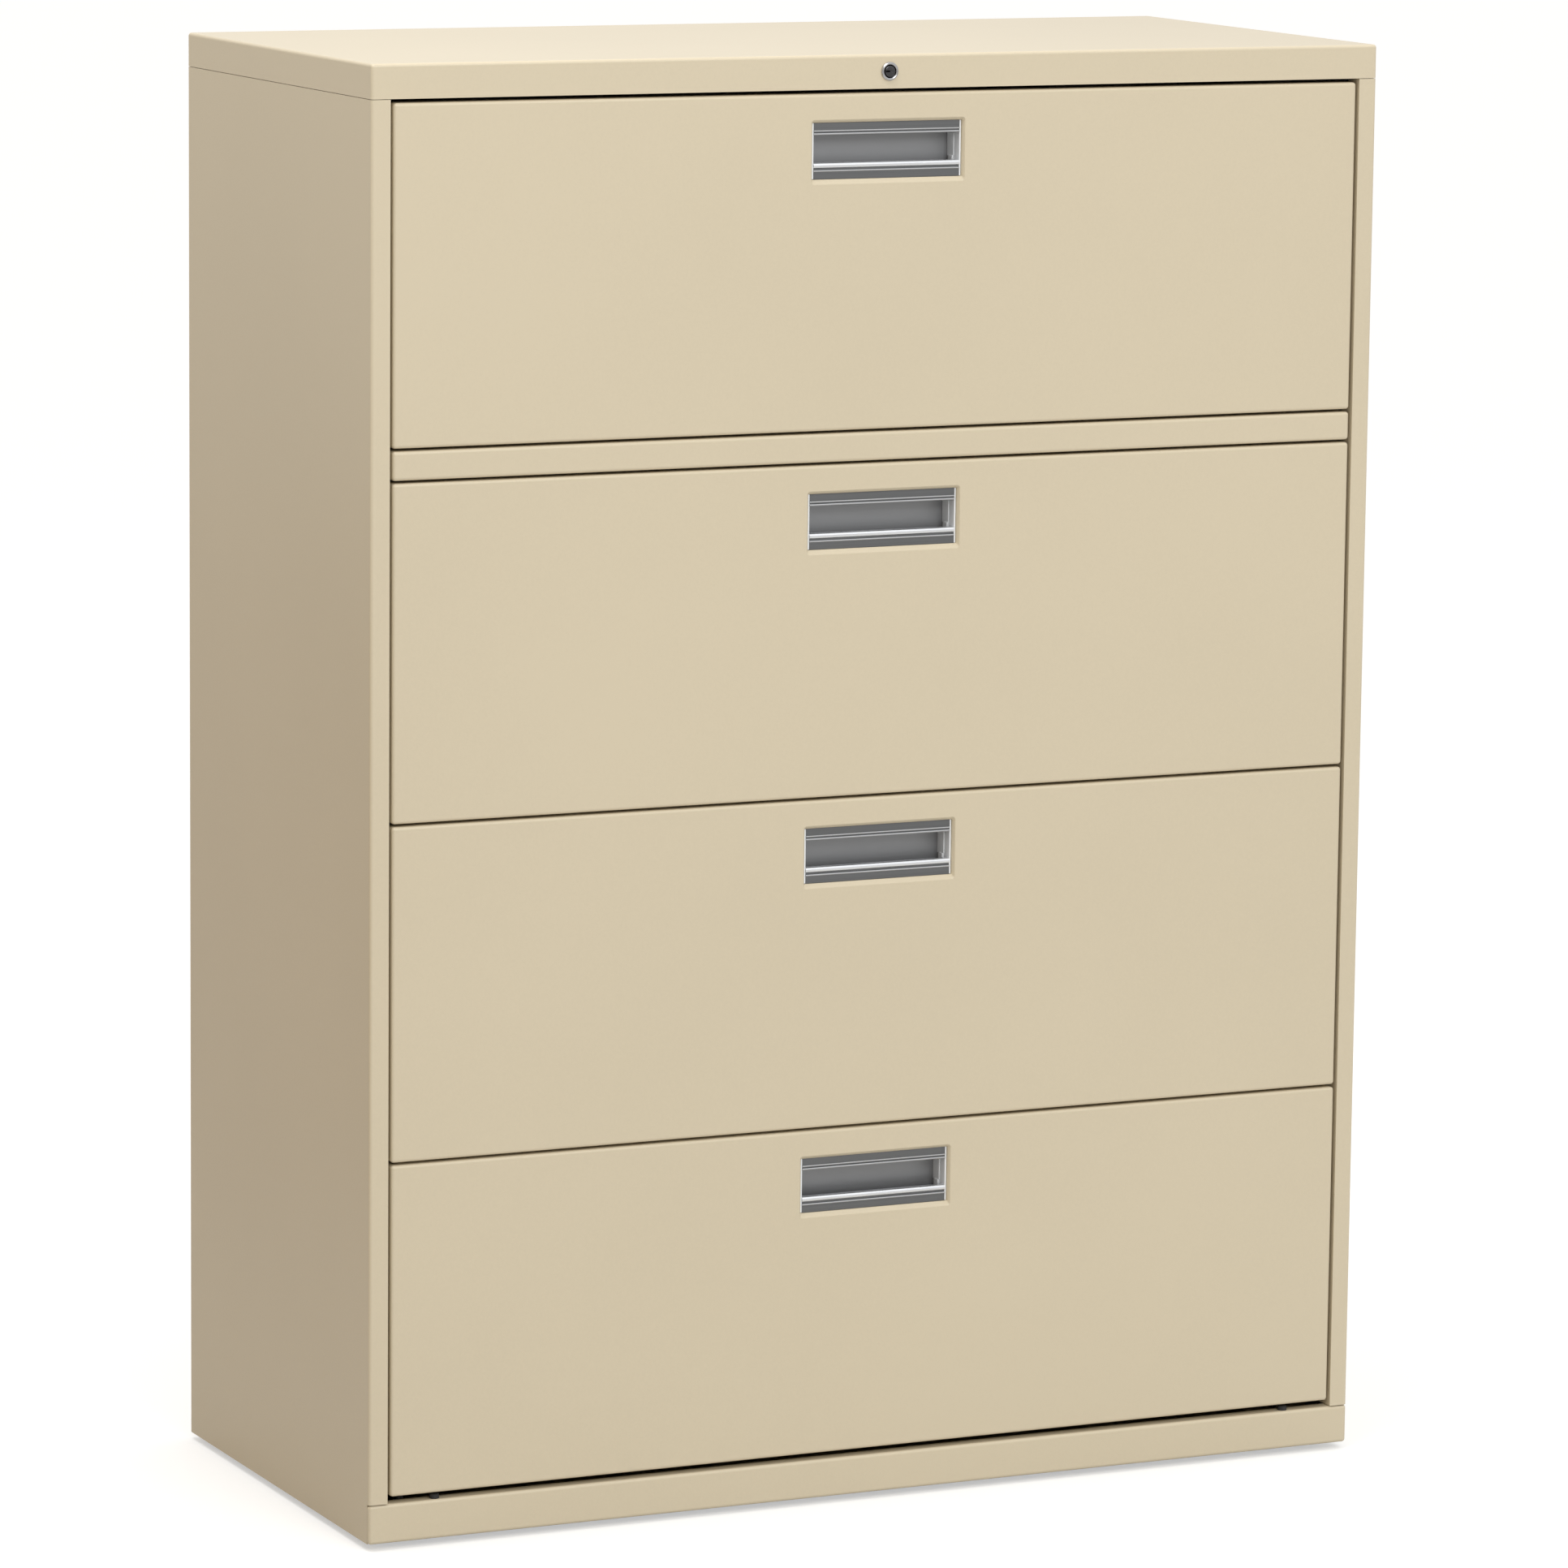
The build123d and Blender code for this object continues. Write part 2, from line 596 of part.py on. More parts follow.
# Drawer front: rounded pan with rear lips and a turned rim round the pull's opening
with BuildPart() as drawer_front:
    with Locations((0, front, 0)):
        Box(2 * front_half, front_depth, drawer_height, align=(mid, low, low))
    face_edges = drawer_front.faces().sort_by(Axis.Y)[0].edges()
    fillet(face_edges + drawer_front.edges().filter_by(Axis.Y), corner)
    offset(amount=-sheet, openings=drawer_front.faces().sort_by(Axis.Y)[-1])
    with BuildSketch(face_plane.offset(-front_depth)):
        with Locations((0, drawer_height / 2)):
            RectangleRounded(2 * front_half, drawer_height, corner)
            Rectangle(2 * (front_half - front_lip), drawer_height - 2 * front_lip, mode=Mode.SUBTRACT)
    extrude(amount=sheet)
    with BuildSketch(face_plane):
        with Locations((0, pull_middle)):
            RectangleRounded(pull_width + 2 * rim, pull_height + 2 * rim, pull_corner)
    extrude(amount=-rim_depth)
    with BuildSketch(face_plane):
        with Locations((0, pull_middle)):
            Rectangle(pull_width, pull_height)
    extrude(amount=-rim_depth, mode=Mode.SUBTRACT)
    hole_edges = drawer_front.faces().sort_by(Axis.Y)[0].inner_wires().edges()
    fillet(hole_edges, rim_radius)

# Drawer tray: open box whose front wall stops below the pull
tray_length = tray_rear - tray_front
with BuildPart() as drawer_tray:
    with Locations((0, tray_front, tray_bottom)):
        Box(2 * tray_half, tray_length, tray_height, align=(mid, low, low))
    with Locations((0, tray_front + sheet, tray_bottom + sheet)):
        Box(
            2 * (tray_half - sheet), tray_length - 2 * sheet, tray_height,
            align=(mid, low, low), mode=Mode.SUBTRACT,
        )
    with Locations((0, tray_front, tray_bottom + tray_front_height)):
        Box(
            2 * (tray_half - sheet), sheet, tray_height,
            align=(mid, low, low), mode=Mode.SUBTRACT,
        )

# Catch for the lock: block welded to the tray's right side wall, exported with the tray
with BuildPart() as tray_catch:
    with Locations((tray_half, front + catch_setback, catch_level)):
        Box(catch_reach, catch_thickness, catch_height, align=(low, low, low))

# Hanging rails: two bars from side to side, their ends resting on the tray's side walls
rail_span = 2 * (tray_half - sheet - fit)
with BuildPart() as hang_rails:
    for y in (tray_front + hang_rail_inset, tray_rear - hang_rail_inset):
        with Locations((0, y, wall_top + hang_rail_rise)):
            Box(rail_span, rail_bar, rail_bar_height, align=(mid, mid, high))
            Box(2 * tray_half, rail_bar, hang_rail_rise, align=(mid, mid, high))

# Pull: aluminium extrusion across the opening. Two ribbed bands leave a slot for the fingers,
# and the lip at the top of the lower band turns back into the pocket.
pull_length = pull_width - 2 * (end_cap + fit)
band_face = front + pull_set
pocket_back = front + pull_depth
frame_low = pull_bottom + fit
frame_high = pull_bottom + pull_height - fit
grip_top = frame_low + lower_band
grip_roof = frame_high - upper_band
with BuildPart() as pull:
    with BuildSketch(Plane.YZ):
        with Locations((band_face, frame_low)):
            Rectangle(pocket_back - band_face, frame_high - frame_low, align=(low, low))
        with Locations((band_face + pull_wall, frame_low + pull_wall)):
            Rectangle(
                pocket_back - band_face - 2 * pull_wall, frame_high - frame_low - 2 * pull_wall,
                align=(low, low), mode=Mode.SUBTRACT,
            )
        with Locations((band_face, grip_top)):
            Rectangle(pull_wall, grip_roof - grip_top, align=(low, low), mode=Mode.SUBTRACT)
            Rectangle(grip_lip, pull_wall, align=(low, high))
        with Locations((band_face, grip_roof)):
            Rectangle(grip_lip, pull_wall, align=(low, low))
        for step in (rib_edge, rib_edge + rib_pitch):
            with Locations((band_face, grip_top - step), (band_face, grip_roof + step)):
                Rectangle(rib, rib, align=(high, mid))
    extrude(amount=pull_length / 2, both=True)

# Pull end caps: plates that close the extrusion's ends
with BuildPart() as pull_end_caps:
    with Locations((pull_length / 2, band_face, frame_low)):
        Box(end_cap, pocket_back - band_face, frame_high - frame_low, align=(low, low, low))
    mirror(about=Plane.YZ)

# ---- One copy of each drawer piece at each drawer's height ----

drawer_pieces = {
    "slide_outer": slide_outer.part,
    "slide_middle": slide_middle.part,
    "slide_inner": slide_inner.part,
    "ball_cages": ball_cages.part,
    "drawer_front": drawer_front.part,
    "drawer_tray": Compound([drawer_tray.part.solid(), tray_catch.part.solid()]),
    "hang_rails": hang_rails.part,
    "pull": pull.part,
    "pull_end_caps": pull_end_caps.part,
}
for number, bottom in enumerate(drawer_bottoms, start=1):
    for name, piece in drawer_pieces.items():
        placed = piece.moved(Location((0, 0, bottom)))
        placed.label = f"{name}_{number}"
        export_step(placed, f"parts/{name}_{number}.step")
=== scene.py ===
import bmesh
import bpy
import math
from mathutils import Matrix, Vector


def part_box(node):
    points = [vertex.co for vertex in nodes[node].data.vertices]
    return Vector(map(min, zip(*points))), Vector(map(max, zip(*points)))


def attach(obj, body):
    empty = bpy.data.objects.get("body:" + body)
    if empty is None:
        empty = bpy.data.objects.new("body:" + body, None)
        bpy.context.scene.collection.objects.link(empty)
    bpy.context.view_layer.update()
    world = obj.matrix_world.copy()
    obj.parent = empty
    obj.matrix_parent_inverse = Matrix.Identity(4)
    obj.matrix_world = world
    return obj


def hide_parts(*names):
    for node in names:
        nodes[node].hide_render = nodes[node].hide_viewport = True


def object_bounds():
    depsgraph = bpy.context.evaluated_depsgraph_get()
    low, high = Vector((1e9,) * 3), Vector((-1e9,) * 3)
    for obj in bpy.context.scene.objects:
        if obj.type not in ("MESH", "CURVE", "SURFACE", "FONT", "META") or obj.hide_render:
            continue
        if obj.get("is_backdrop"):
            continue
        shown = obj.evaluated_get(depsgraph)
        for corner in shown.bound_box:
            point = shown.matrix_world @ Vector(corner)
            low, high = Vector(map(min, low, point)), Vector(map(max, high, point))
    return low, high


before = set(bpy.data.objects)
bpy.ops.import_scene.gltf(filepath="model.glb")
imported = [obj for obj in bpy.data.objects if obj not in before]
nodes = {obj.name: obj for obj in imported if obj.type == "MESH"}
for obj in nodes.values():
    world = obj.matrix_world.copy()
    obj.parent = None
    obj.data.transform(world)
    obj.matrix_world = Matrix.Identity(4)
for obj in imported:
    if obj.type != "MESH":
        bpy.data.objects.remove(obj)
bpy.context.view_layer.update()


def enamel(name, colour, pebble, roughness):
    material = bpy.data.materials.new(name)
    material.use_nodes = True
    tree = material.node_tree
    shader = tree.nodes["Principled BSDF"]
    shader.inputs["Roughness"].default_value = roughness
    shader.inputs["Specular IOR Level"].default_value = 0.5
    place = tree.nodes.new("ShaderNodeTexCoord")
    drift = tree.nodes.new("ShaderNodeTexNoise")
    drift.inputs["Scale"].default_value = 2.5
    drift.inputs["Detail"].default_value = 3.0
    grain = tree.nodes.new("ShaderNodeTexNoise")
    grain.inputs["Scale"].default_value = 420.0
    grain.inputs["Detail"].default_value = 3.0
    grain.inputs["Roughness"].default_value = 0.6
    mottle = tree.nodes.new("ShaderNodeMath")
    mottle.operation = "MULTIPLY_ADD"
    mottle.inputs[1].default_value = 0.7
    tint = tree.nodes.new("ShaderNodeMix")
    tint.data_type = "RGBA"
    tint.inputs["A"].default_value = (*[c * 0.955 for c in colour], 1)
    tint.inputs["B"].default_value = (*[c * 1.045 for c in colour], 1)
    bump = tree.nodes.new("ShaderNodeBump")
    bump.inputs["Strength"].default_value = pebble
    bump.inputs["Distance"].default_value = 0.0003
    link = tree.links.new
    link(place.outputs["Object"], drift.inputs["Vector"])
    link(place.outputs["Object"], grain.inputs["Vector"])
    link(grain.outputs["Fac"], mottle.inputs[0])
    link(drift.outputs["Fac"], mottle.inputs[2])
    link(mottle.outputs["Value"], tint.inputs["Factor"])
    link(tint.outputs["Result"], shader.inputs["Base Color"])
    link(grain.outputs["Fac"], bump.inputs["Height"])
    link(bump.outputs["Normal"], shader.inputs["Normal"])
    return material


def coat(material, *names):
    for name in names:
        nodes[name].data.materials.clear()
        nodes[name].data.materials.append(material)


putty = enamel("putty_enamel", (0.664, 0.583, 0.428), 0.2, 0.34)
coat(putty, "top_cap", "left_side_panel", "right_side_panel", "back_panel")
coat(putty, "base_front_rail", "filler_rail")


# Drawer fronts: shallow pans pressed from the same sheet, with a radius on every front edge.
# Round the pull's opening the sheet is drawn inwards, in a wider curve below than at the sides.
drawer_numbers = (1, 2, 3, 4)


def rounded_loop(centre, half, radius, level, upright=True, steps=6):
    points = []
    for quarter, (side, end) in enumerate(((1, 1), (-1, 1), (-1, -1), (1, -1))):
        for step in range(steps + 1):
            angle = (quarter + step / steps) * math.pi / 2
            across = centre[0] + side * (half[0] - radius) + radius * math.cos(angle)
            along = centre[1] + end * (half[1] - radius) + radius * math.sin(angle)
            points.append((across, level, along) if upright else (across, along, level))
    return points


def add_piece(name, shape, body, slot, *replaced, materials=(), sharp=35):
    """Finished mesh piece: smooth over its radii, with flat faces kept flat by weighted normals."""
    bmesh.ops.remove_doubles(shape, verts=shape.verts, dist=1e-6)
    bmesh.ops.recalc_face_normals(shape, faces=shape.faces)
    for face in shape.faces:
        face.smooth = True
    for edge in shape.edges:
        if len(edge.link_faces) == 2 and edge.calc_face_angle(0) > math.radians(sharp):
            edge.smooth = False
    mesh = bpy.data.meshes.new(name)
    shape.to_mesh(mesh)
    shape.free()
    for material in materials:
        mesh.materials.append(material)
    piece = bpy.data.objects.new(name, mesh)
    bpy.context.scene.collection.objects.link(piece)
    weighted = piece.modifiers.new("flat_faces", "WEIGHTED_NORMAL")
    weighted.keep_sharp = True
    weighted.weight = 100
    graph = bpy.context.evaluated_depsgraph_get()
    finished = bpy.data.meshes.new_from_object(piece.evaluated_get(graph))
    piece.modifiers.clear()
    piece.data = finished
    finished.name = name
    bpy.data.meshes.remove(mesh)
    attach(piece, body)
    if replaced:
        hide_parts(*replaced)
    return piece


def loft(loops, closed=False):
    """Skin over loops of equal length, with flat ends or with its last loop joined to its first."""
    shape = bmesh.new()
    rows = [[shape.verts.new(point) for point in loop] for loop in loops]
    pairs = list(zip(rows, rows[1:]))
    if closed:
        pairs.append((rows[-1], rows[0]))
    for first, second in pairs:
        count = len(first)
        for i in range(count):
            j = (i + 1) % count
            shape.faces.new((first[i], first[j], second[j], second[i]))
    if not closed:
        shape.faces.new(rows[0])
        shape.faces.new(rows[-1])
    return shape


sheet = 0.001
edge_radius = 0.003
hem_radius = 0.0006
front_lip = 0.012
rim_side, rim_top, rim_bottom = 0.0022, 0.0028, 0.0046
rim_curve, rim_fall = 0.0031, 1.25
hole_corner, rim_corner = 0.0006, 0.0024
rim_flange = 0.008
hole_gap = 0.0003
arc_steps = 6
quarter = [math.pi / 2 * step / arc_steps for step in range(arc_steps + 1)]
slope = [step / arc_steps for step in range(arc_steps + 1)]
for n in drawer_numbers:
    low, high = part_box(f"drawer_front_{n}")
    pull_low, pull_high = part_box(f"pull_{n}")
    cap_low, cap_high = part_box(f"pull_end_caps_{n}")
    middle = ((low.x + high.x) / 2, (low.z + high.z) / 2)
    half = ((high.x - low.x) / 2, (high.z - low.z) / 2)
    hole_middle = ((cap_low.x + cap_high.x) / 2, (pull_low.z + pull_high.z) / 2)
    hole_size = (cap_high.x - cap_low.x, pull_high.z - pull_low.z)
    hole_half = (hole_size[0] / 2 + hole_gap, hole_size[1] / 2 + hole_gap)
    face, rear = low.y, high.y

    def edge_loop(inset, level):
        radius = max(edge_radius - inset, hem_radius / 2)
        return rounded_loop(middle, (half[0] - inset, half[1] - inset), radius, level)

    def rim_loop(share, level, grow=0.0):
        """Loop between the hole, share 0, and the line where the flat face begins, share 1."""
        up, down = share * rim_top + grow, share * rim_bottom + grow
        centre = (hole_middle[0], hole_middle[1] + (up - down) / 2)
        size = (hole_half[0] + share * rim_side + grow, hole_half[1] + (up + down) / 2)
        return rounded_loop(centre, size, hole_corner + rim_corner * share + grow, level)

    def round_edge(a, radius):
        """Loop on the front edge's radius, from the flat side, angle 0, to the face."""
        inset = edge_radius - radius * math.cos(a)
        return edge_loop(inset, face + edge_radius - radius * math.sin(a))

    loops = [edge_loop(front_lip, rear), edge_loop(hem_radius, rear)]
    loops += [edge_loop(0, rear - hem_radius)]
    loops += [round_edge(a, edge_radius) for a in quarter]
    loops += [rim_loop(1 - t, face + rim_curve * t ** rim_fall) for t in slope]
    loops += [rim_loop(0, face + rim_flange), rim_loop(0, face + rim_flange, sheet)]
    for t in reversed(slope):
        loops.append(rim_loop(1 - t, face + sheet + rim_curve * t ** rim_fall, sheet * t))
    loops += [round_edge(a, edge_radius - sheet) for a in reversed(quarter)]
    loops += [edge_loop(sheet, rear - sheet), edge_loop(front_lip, rear - sheet)]
    add_piece(
        f"front_panel_{n}", loft(loops, closed=True), f"drawer_{n}", "putty_paint",
        f"drawer_front_{n}", materials=[putty],
    )


# Pulls: anodised aluminium extrusions set in the openings. Two flat bands with ribs run above
# and below a deep pocket for the fingers, and the lower band ends in a thick rounded lip.
def brushed_metal(name, colour, roughness, streak, direction=(3.0, 700.0, 700.0), metallic=1.0):
    material = bpy.data.materials.new(name)
    material.use_nodes = True
    tree = material.node_tree
    shader = tree.nodes["Principled BSDF"]
    shader.inputs["Metallic"].default_value = metallic
    place = tree.nodes.new("ShaderNodeTexCoord")
    stretch = tree.nodes.new("ShaderNodeMapping")
    stretch.inputs["Scale"].default_value = direction
    lines = tree.nodes.new("ShaderNodeTexNoise")
    lines.inputs["Scale"].default_value = 1.0
    lines.inputs["Detail"].default_value = 4.0
    tint = tree.nodes.new("ShaderNodeMix")
    tint.data_type = "RGBA"
    tint.inputs["A"].default_value = (*[c * (1 - streak) for c in colour], 1)
    tint.inputs["B"].default_value = (*[min(1, c * (1 + streak)) for c in colour], 1)
    gloss = tree.nodes.new("ShaderNodeMapRange")
    gloss.inputs["To Min"].default_value = roughness * 0.8
    gloss.inputs["To Max"].default_value = roughness * 1.25
    bump = tree.nodes.new("ShaderNodeBump")
    bump.inputs["Strength"].default_value = 0.12
    bump.inputs["Distance"].default_value = 0.0001
    link = tree.links.new
    link(place.outputs["Object"], stretch.inputs["Vector"])
    link(stretch.outputs["Vector"], lines.inputs["Vector"])
    link(lines.outputs["Fac"], tint.inputs["Factor"])
    link(lines.outputs["Fac"], gloss.inputs["Value"])
    link(lines.outputs["Fac"], bump.inputs["Height"])
    link(tint.outputs["Result"], shader.inputs["Base Color"])
    link(gloss.outputs["Result"], shader.inputs["Roughness"])
    link(bump.outputs["Normal"], shader.inputs["Normal"])
    return material


def bar_of(outline, start, end, bright):
    """Prism along X of an outline in Y and Z. bright holds the slot of each edge that isn't 0: the
    edges painted lighter as painted light.
    """
    shape = bmesh.new()
    near = [shape.verts.new((start, y, z)) for y, z in outline]
    far = [shape.verts.new((end, y, z)) for y, z in outline]
    count = len(outline)
    for i in range(count):
        j = (i + 1) % count
        face = shape.faces.new((near[i], near[j], far[j], far[i]))
        face.material_index = bright.get(i, 0)
    shape.faces.new(near)
    shape.faces.new(far)
    return shape


def half_round(y, top, bottom, proud, steps=8):
    """Bead on a face at y, from its top edge down to its bottom edge."""
    middle, reach = (top + bottom) / 2, (top - bottom) / 2
    angles = [math.pi * step / steps for step in range(steps + 1)]
    return [(y - proud * math.sin(a), middle + reach * math.cos(a)) for a in angles]


# The pocket, rib and lip copies are this same anodised aluminium painted lighter: painted light on
# the pocket's shaded walls, painted highlights on the ribs and the lip.
anodised = brushed_metal("anodised_aluminium", (0.19, 0.195, 0.20), 0.42, 0.12)
pocket = brushed_metal("pocket_aluminium_painted_light", (0.36, 0.365, 0.375), 0.5, 0.08)
rib_painted_highlight = brushed_metal("rib_aluminium_painted_highlight", (0.52, 0.53, 0.545), 0.38, 0.06)
lip_painted_highlight = brushed_metal("lip_aluminium_painted_highlight", (0.90, 0.92, 0.95), 0.3, 0.03)
wall = 0.0016
rib_proud = 0.0007
groove = 0.0008
upper_rib, upper_groove, lower_rib = 0.0015, 0.0011, 0.0018
upper_flat, lower_flat = 0.0064, 0.0066
lip_height, lip_depth = 0.0049, 0.006
foot_groove, foot_rib = 0.0016, 0.0015
band_inset = 0.0008
lip_steps = 12
lip_chamfer, lip_setback, lip_bulge = 0.0005, 0.0012, 0.0019
for n in drawer_numbers:
    low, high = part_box(f"pull_{n}")
    face = low.y + band_inset
    outline = [(face, high.z)]
    bright = {}

    # Beads take slot 1, the rib copy painted lighter as a painted highlight.
    def add_bead(y, top, bottom, proud):
        first = len(outline)
        outline.extend(half_round(y, top, bottom, proud))
        bright.update((edge, 1) for edge in range(first, len(outline) - 1))

    level = high.z - upper_flat
    add_bead(face, level, level - upper_rib, rib_proud)
    level -= upper_rib
    outline += [(face + groove, level), (face + groove, level - upper_groove)]
    level -= upper_groove
    add_bead(face, level, level - lower_rib, rib_proud)
    level -= lower_rib
    outline += [(face + lip_depth, level), (face + lip_depth, level + wall)]
    outline += [(face + wall, level + wall), (face + wall, high.z - wall)]
    outline += [(high.y - wall, high.z - wall), (high.y - wall, low.z + wall)]
    # The pocket's walls take slot 3, painted lighter as painted light in their shade.
    bright.update((edge, 3) for edge in range(len(outline) - 3, len(outline)))
    lip_top = low.z + lower_flat + foot_rib + foot_groove + lip_height
    outline += [(face + wall, low.z + wall), (face + wall, lip_top - lip_height)]
    outline += [(face + lip_depth, lip_top - wall)]
    # The rounded lip takes slot 2, painted near white as a painted highlight.
    first = len(outline)
    outline.append((face + lip_depth, lip_top - lip_chamfer))
    outline.append((face + lip_depth - lip_chamfer, lip_top))
    middle, reach = lip_top - lip_height / 2, lip_height / 2
    for step in range(lip_steps + 1):
        a = math.pi * step / lip_steps
        outline.append((face + lip_setback - lip_bulge * math.sin(a), middle + reach * math.cos(a)))
    bright.update((edge, 2) for edge in range(first, len(outline) - 1))
    level = lip_top - lip_height
    outline += [(face + groove, level), (face + groove, level - foot_groove)]
    level -= foot_groove
    add_bead(face, level, level - foot_rib, rib_proud)
    outline += [(face, low.z), (high.y, low.z), (high.y, high.z)]
    add_piece(
        f"pull_bar_{n}", bar_of(outline, low.x, high.x, bright), f"drawer_{n}", "pull_aluminium",
        f"pull_{n}", materials=[anodised, rib_painted_highlight, lip_painted_highlight, pocket], sharp=50,
    )


# Pull end caps: pale plastic mouldings that close the extrusion. Each has a raised pad against
# the back of the pocket and a small foot that sits on the lip.
def moulded_plastic(name, colour, roughness):
    material = bpy.data.materials.new(name)
    material.use_nodes = True
    tree = material.node_tree
    shader = tree.nodes["Principled BSDF"]
    shader.inputs["Roughness"].default_value = roughness
    place = tree.nodes.new("ShaderNodeTexCoord")
    spark = tree.nodes.new("ShaderNodeTexNoise")
    spark.inputs["Scale"].default_value = 1600.0
    cloud = tree.nodes.new("ShaderNodeTexNoise")
    cloud.inputs["Scale"].default_value = 60.0
    tint = tree.nodes.new("ShaderNodeMix")
    tint.data_type = "RGBA"
    tint.inputs["A"].default_value = (*[c * 0.94 for c in colour], 1)
    tint.inputs["B"].default_value = (*[min(1, c * 1.06) for c in colour], 1)
    bump = tree.nodes.new("ShaderNodeBump")
    bump.inputs["Strength"].default_value = 0.25
    bump.inputs["Distance"].default_value = 0.0001
    link = tree.links.new
    link(place.outputs["Object"], spark.inputs["Vector"])
    link(place.outputs["Object"], cloud.inputs["Vector"])
    link(cloud.outputs["Fac"], tint.inputs["Factor"])
    link(tint.outputs["Result"], shader.inputs["Base Color"])
    link(spark.outputs["Fac"], bump.inputs["Height"])
    link(bump.outputs["Normal"], shader.inputs["Normal"])
    return material


def add_block(shape, low, high, radius=0.0003):
    """Block with rounded edges, added to a mesh under construction."""
    made = bmesh.ops.create_cube(shape, size=1)["verts"]
    for vertex in made:
        vertex.co = Vector([low[i] if vertex.co[i] < 0 else high[i] for i in range(3)])
    edges = list(dict.fromkeys(edge for vertex in made for edge in vertex.link_edges))
    bmesh.ops.bevel(shape, geom=edges, offset=radius, segments=3, profile=0.5, affect="EDGES")


cap_plastic = moulded_plastic("pale_moulding", (0.9, 0.93, 0.97), 0.34)
pad_thickness, foot_thickness = 0.0009, 0.00234
pad_share = 0.42
pad_margin = 0.0002
foot_bottom, pad_bottom, foot_top, pad_top = 0.0125, 0.0165, 0.0175, 0.0125
foot_depth = 0.007
for n in drawer_numbers:
    low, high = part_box(f"pull_end_caps_{n}")
    bar_low, bar_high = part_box(f"pull_{n}")
    pad_front, pad_rear = low.y + pad_share * (high.y - low.y), high.y - wall - pad_margin
    shape = bmesh.new()
    for outer, inner, inward in ((low.x, bar_low.x, 1), (high.x, bar_high.x, -1)):
        left, right = sorted((outer, inner))
        add_block(shape, (left, low.y, low.z), (right, high.y, high.z))
        left, right = sorted((inner, inner + inward * pad_thickness))
        lowest, highest = low.z + pad_bottom, high.z - pad_top
        add_block(shape, (left, pad_front, lowest), (right, pad_rear, highest))
        left, right = sorted((inner, inner + inward * foot_thickness))
        lowest, highest = low.z + foot_bottom, low.z + foot_top
        add_block(shape, (left, pad_front, lowest), (right, pad_front + foot_depth, highest))
    add_piece(
        f"pull_caps_{n}", shape, f"drawer_{n}", "pull_plastic",
        f"pull_end_caps_{n}", materials=[cap_plastic],
    )


# Lock: die-cast barrel with a chromed, rounded bezel, pushed through the cap's skirt and held from
# behind by a nut. The dark steel plug turns in it, and has a key slot off its centre.
chrome = brushed_metal("lock_chrome", (0.55, 0.55, 0.56), 0.14, 0.03)
plug_metal = brushed_metal("lock_plug_metal", (0.10, 0.10, 0.105), 0.22, 0.1)
low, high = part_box("lock_housing")
lock_x, lock_z = (low.x + high.x) / 2, (low.z + high.z) / 2
skirt = low.y + 0.002
bore, barrel, nut, bezel = 0.0053, 0.0070, 0.0095, 0.0085
nut_front, nut_rear = skirt + 0.001, skirt + 0.004
bezel_edge = skirt - 0.0004
outer_round, outer_height = 0.0014, 0.0016
crown, inner_round = bezel - outer_round, 0.0012
bezel_front = bezel_edge - outer_height


def ring(radius, level):
    return rounded_loop((lock_x, lock_z), (radius, radius), radius, level, steps=12)


loops = [ring(bore, high.y), ring(barrel, high.y), ring(barrel, nut_rear), ring(nut, nut_rear)]
loops += [ring(nut, nut_front), ring(barrel, nut_front), ring(barrel, skirt)]
loops += [ring(bezel, skirt), ring(bezel, bezel_edge)]
for a in quarter:
    radius = bezel - outer_round * (1 - math.cos(a))
    loops.append(ring(radius, bezel_edge - outer_height * math.sin(a)))
for a in quarter:
    radius = crown - inner_round * math.sin(a)
    loops.append(ring(radius, bezel_front + inner_round * (1 - math.cos(a))))
loops.append(ring(bore, skirt))
add_piece(
    "lock_bezel", loft(loops, closed=True), "cabinet", "lock_chrome",
    "lock_housing", materials=[chrome],
)

low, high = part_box("lock_plug")
face_radius, face_edge = 0.0049, 0.0046
face_step, face_thickness = 0.0003, 0.0005
slot_left, slot_right, slot_half = 0.0046, 0.0020, 0.0007
slot_middle = (lock_x + (slot_right - slot_left) / 2, lock_z)
slot_chamfer = 0.0002


def slot_loop(level, grow=0.0):
    size = ((slot_left + slot_right) / 2 + grow, slot_half + grow)
    return rounded_loop(slot_middle, size, size[1] * 0.95, level, steps=12)


front = low.y - face_thickness
loops = [ring(face_radius, low.y), ring(face_radius, low.y - face_step), ring(face_edge, front)]
loops += [slot_loop(front, slot_chamfer), slot_loop(low.y - face_step), slot_loop(low.y)]
add_piece(
    "lock_plug_face", loft(loops, closed=True), "lock_plug", "lock_chrome", materials=[plug_metal],
)
coat(plug_metal, "lock_plug")


# Inner sheet metal: drawer trays in the case's enamel, rougher inside and darkened there as painted
# shade. Uprights, slides, hanging rails, brackets and the lock's bar and link are zinc-plated
# steel.
inner_putty_painted_shade = enamel("inner_enamel_painted_shade", (0.60, 0.525, 0.385), 0.2, 0.5)
zinc = brushed_metal("zinc_plate", (0.56, 0.57, 0.585), 0.36, 0.08, (90.0, 90.0, 90.0))
blackened = brushed_metal("weight_coat", (0.045, 0.045, 0.048), 0.55, 0.25, (60.0, 60.0, 60.0), 0.0)
rubber = moulded_plastic("black_rubber", (0.025, 0.025, 0.026), 0.75)
nylon = moulded_plastic("white_nylon", (0.72, 0.71, 0.67), 0.45)
# The base pan takes the same enamel darkened as painted shade.
coat(inner_putty_painted_shade, "base_pan")
coat(zinc, "uprights", "filler_brackets", "glide_brackets", "counterweight_bolts")
coat(zinc, "lock_bar", "lock_bar_fittings", "lock_link")
coat(blackened, "counterweight")
coat(rubber, "base_bumpers")
coat(nylon, "bar_guides", "link_guides")


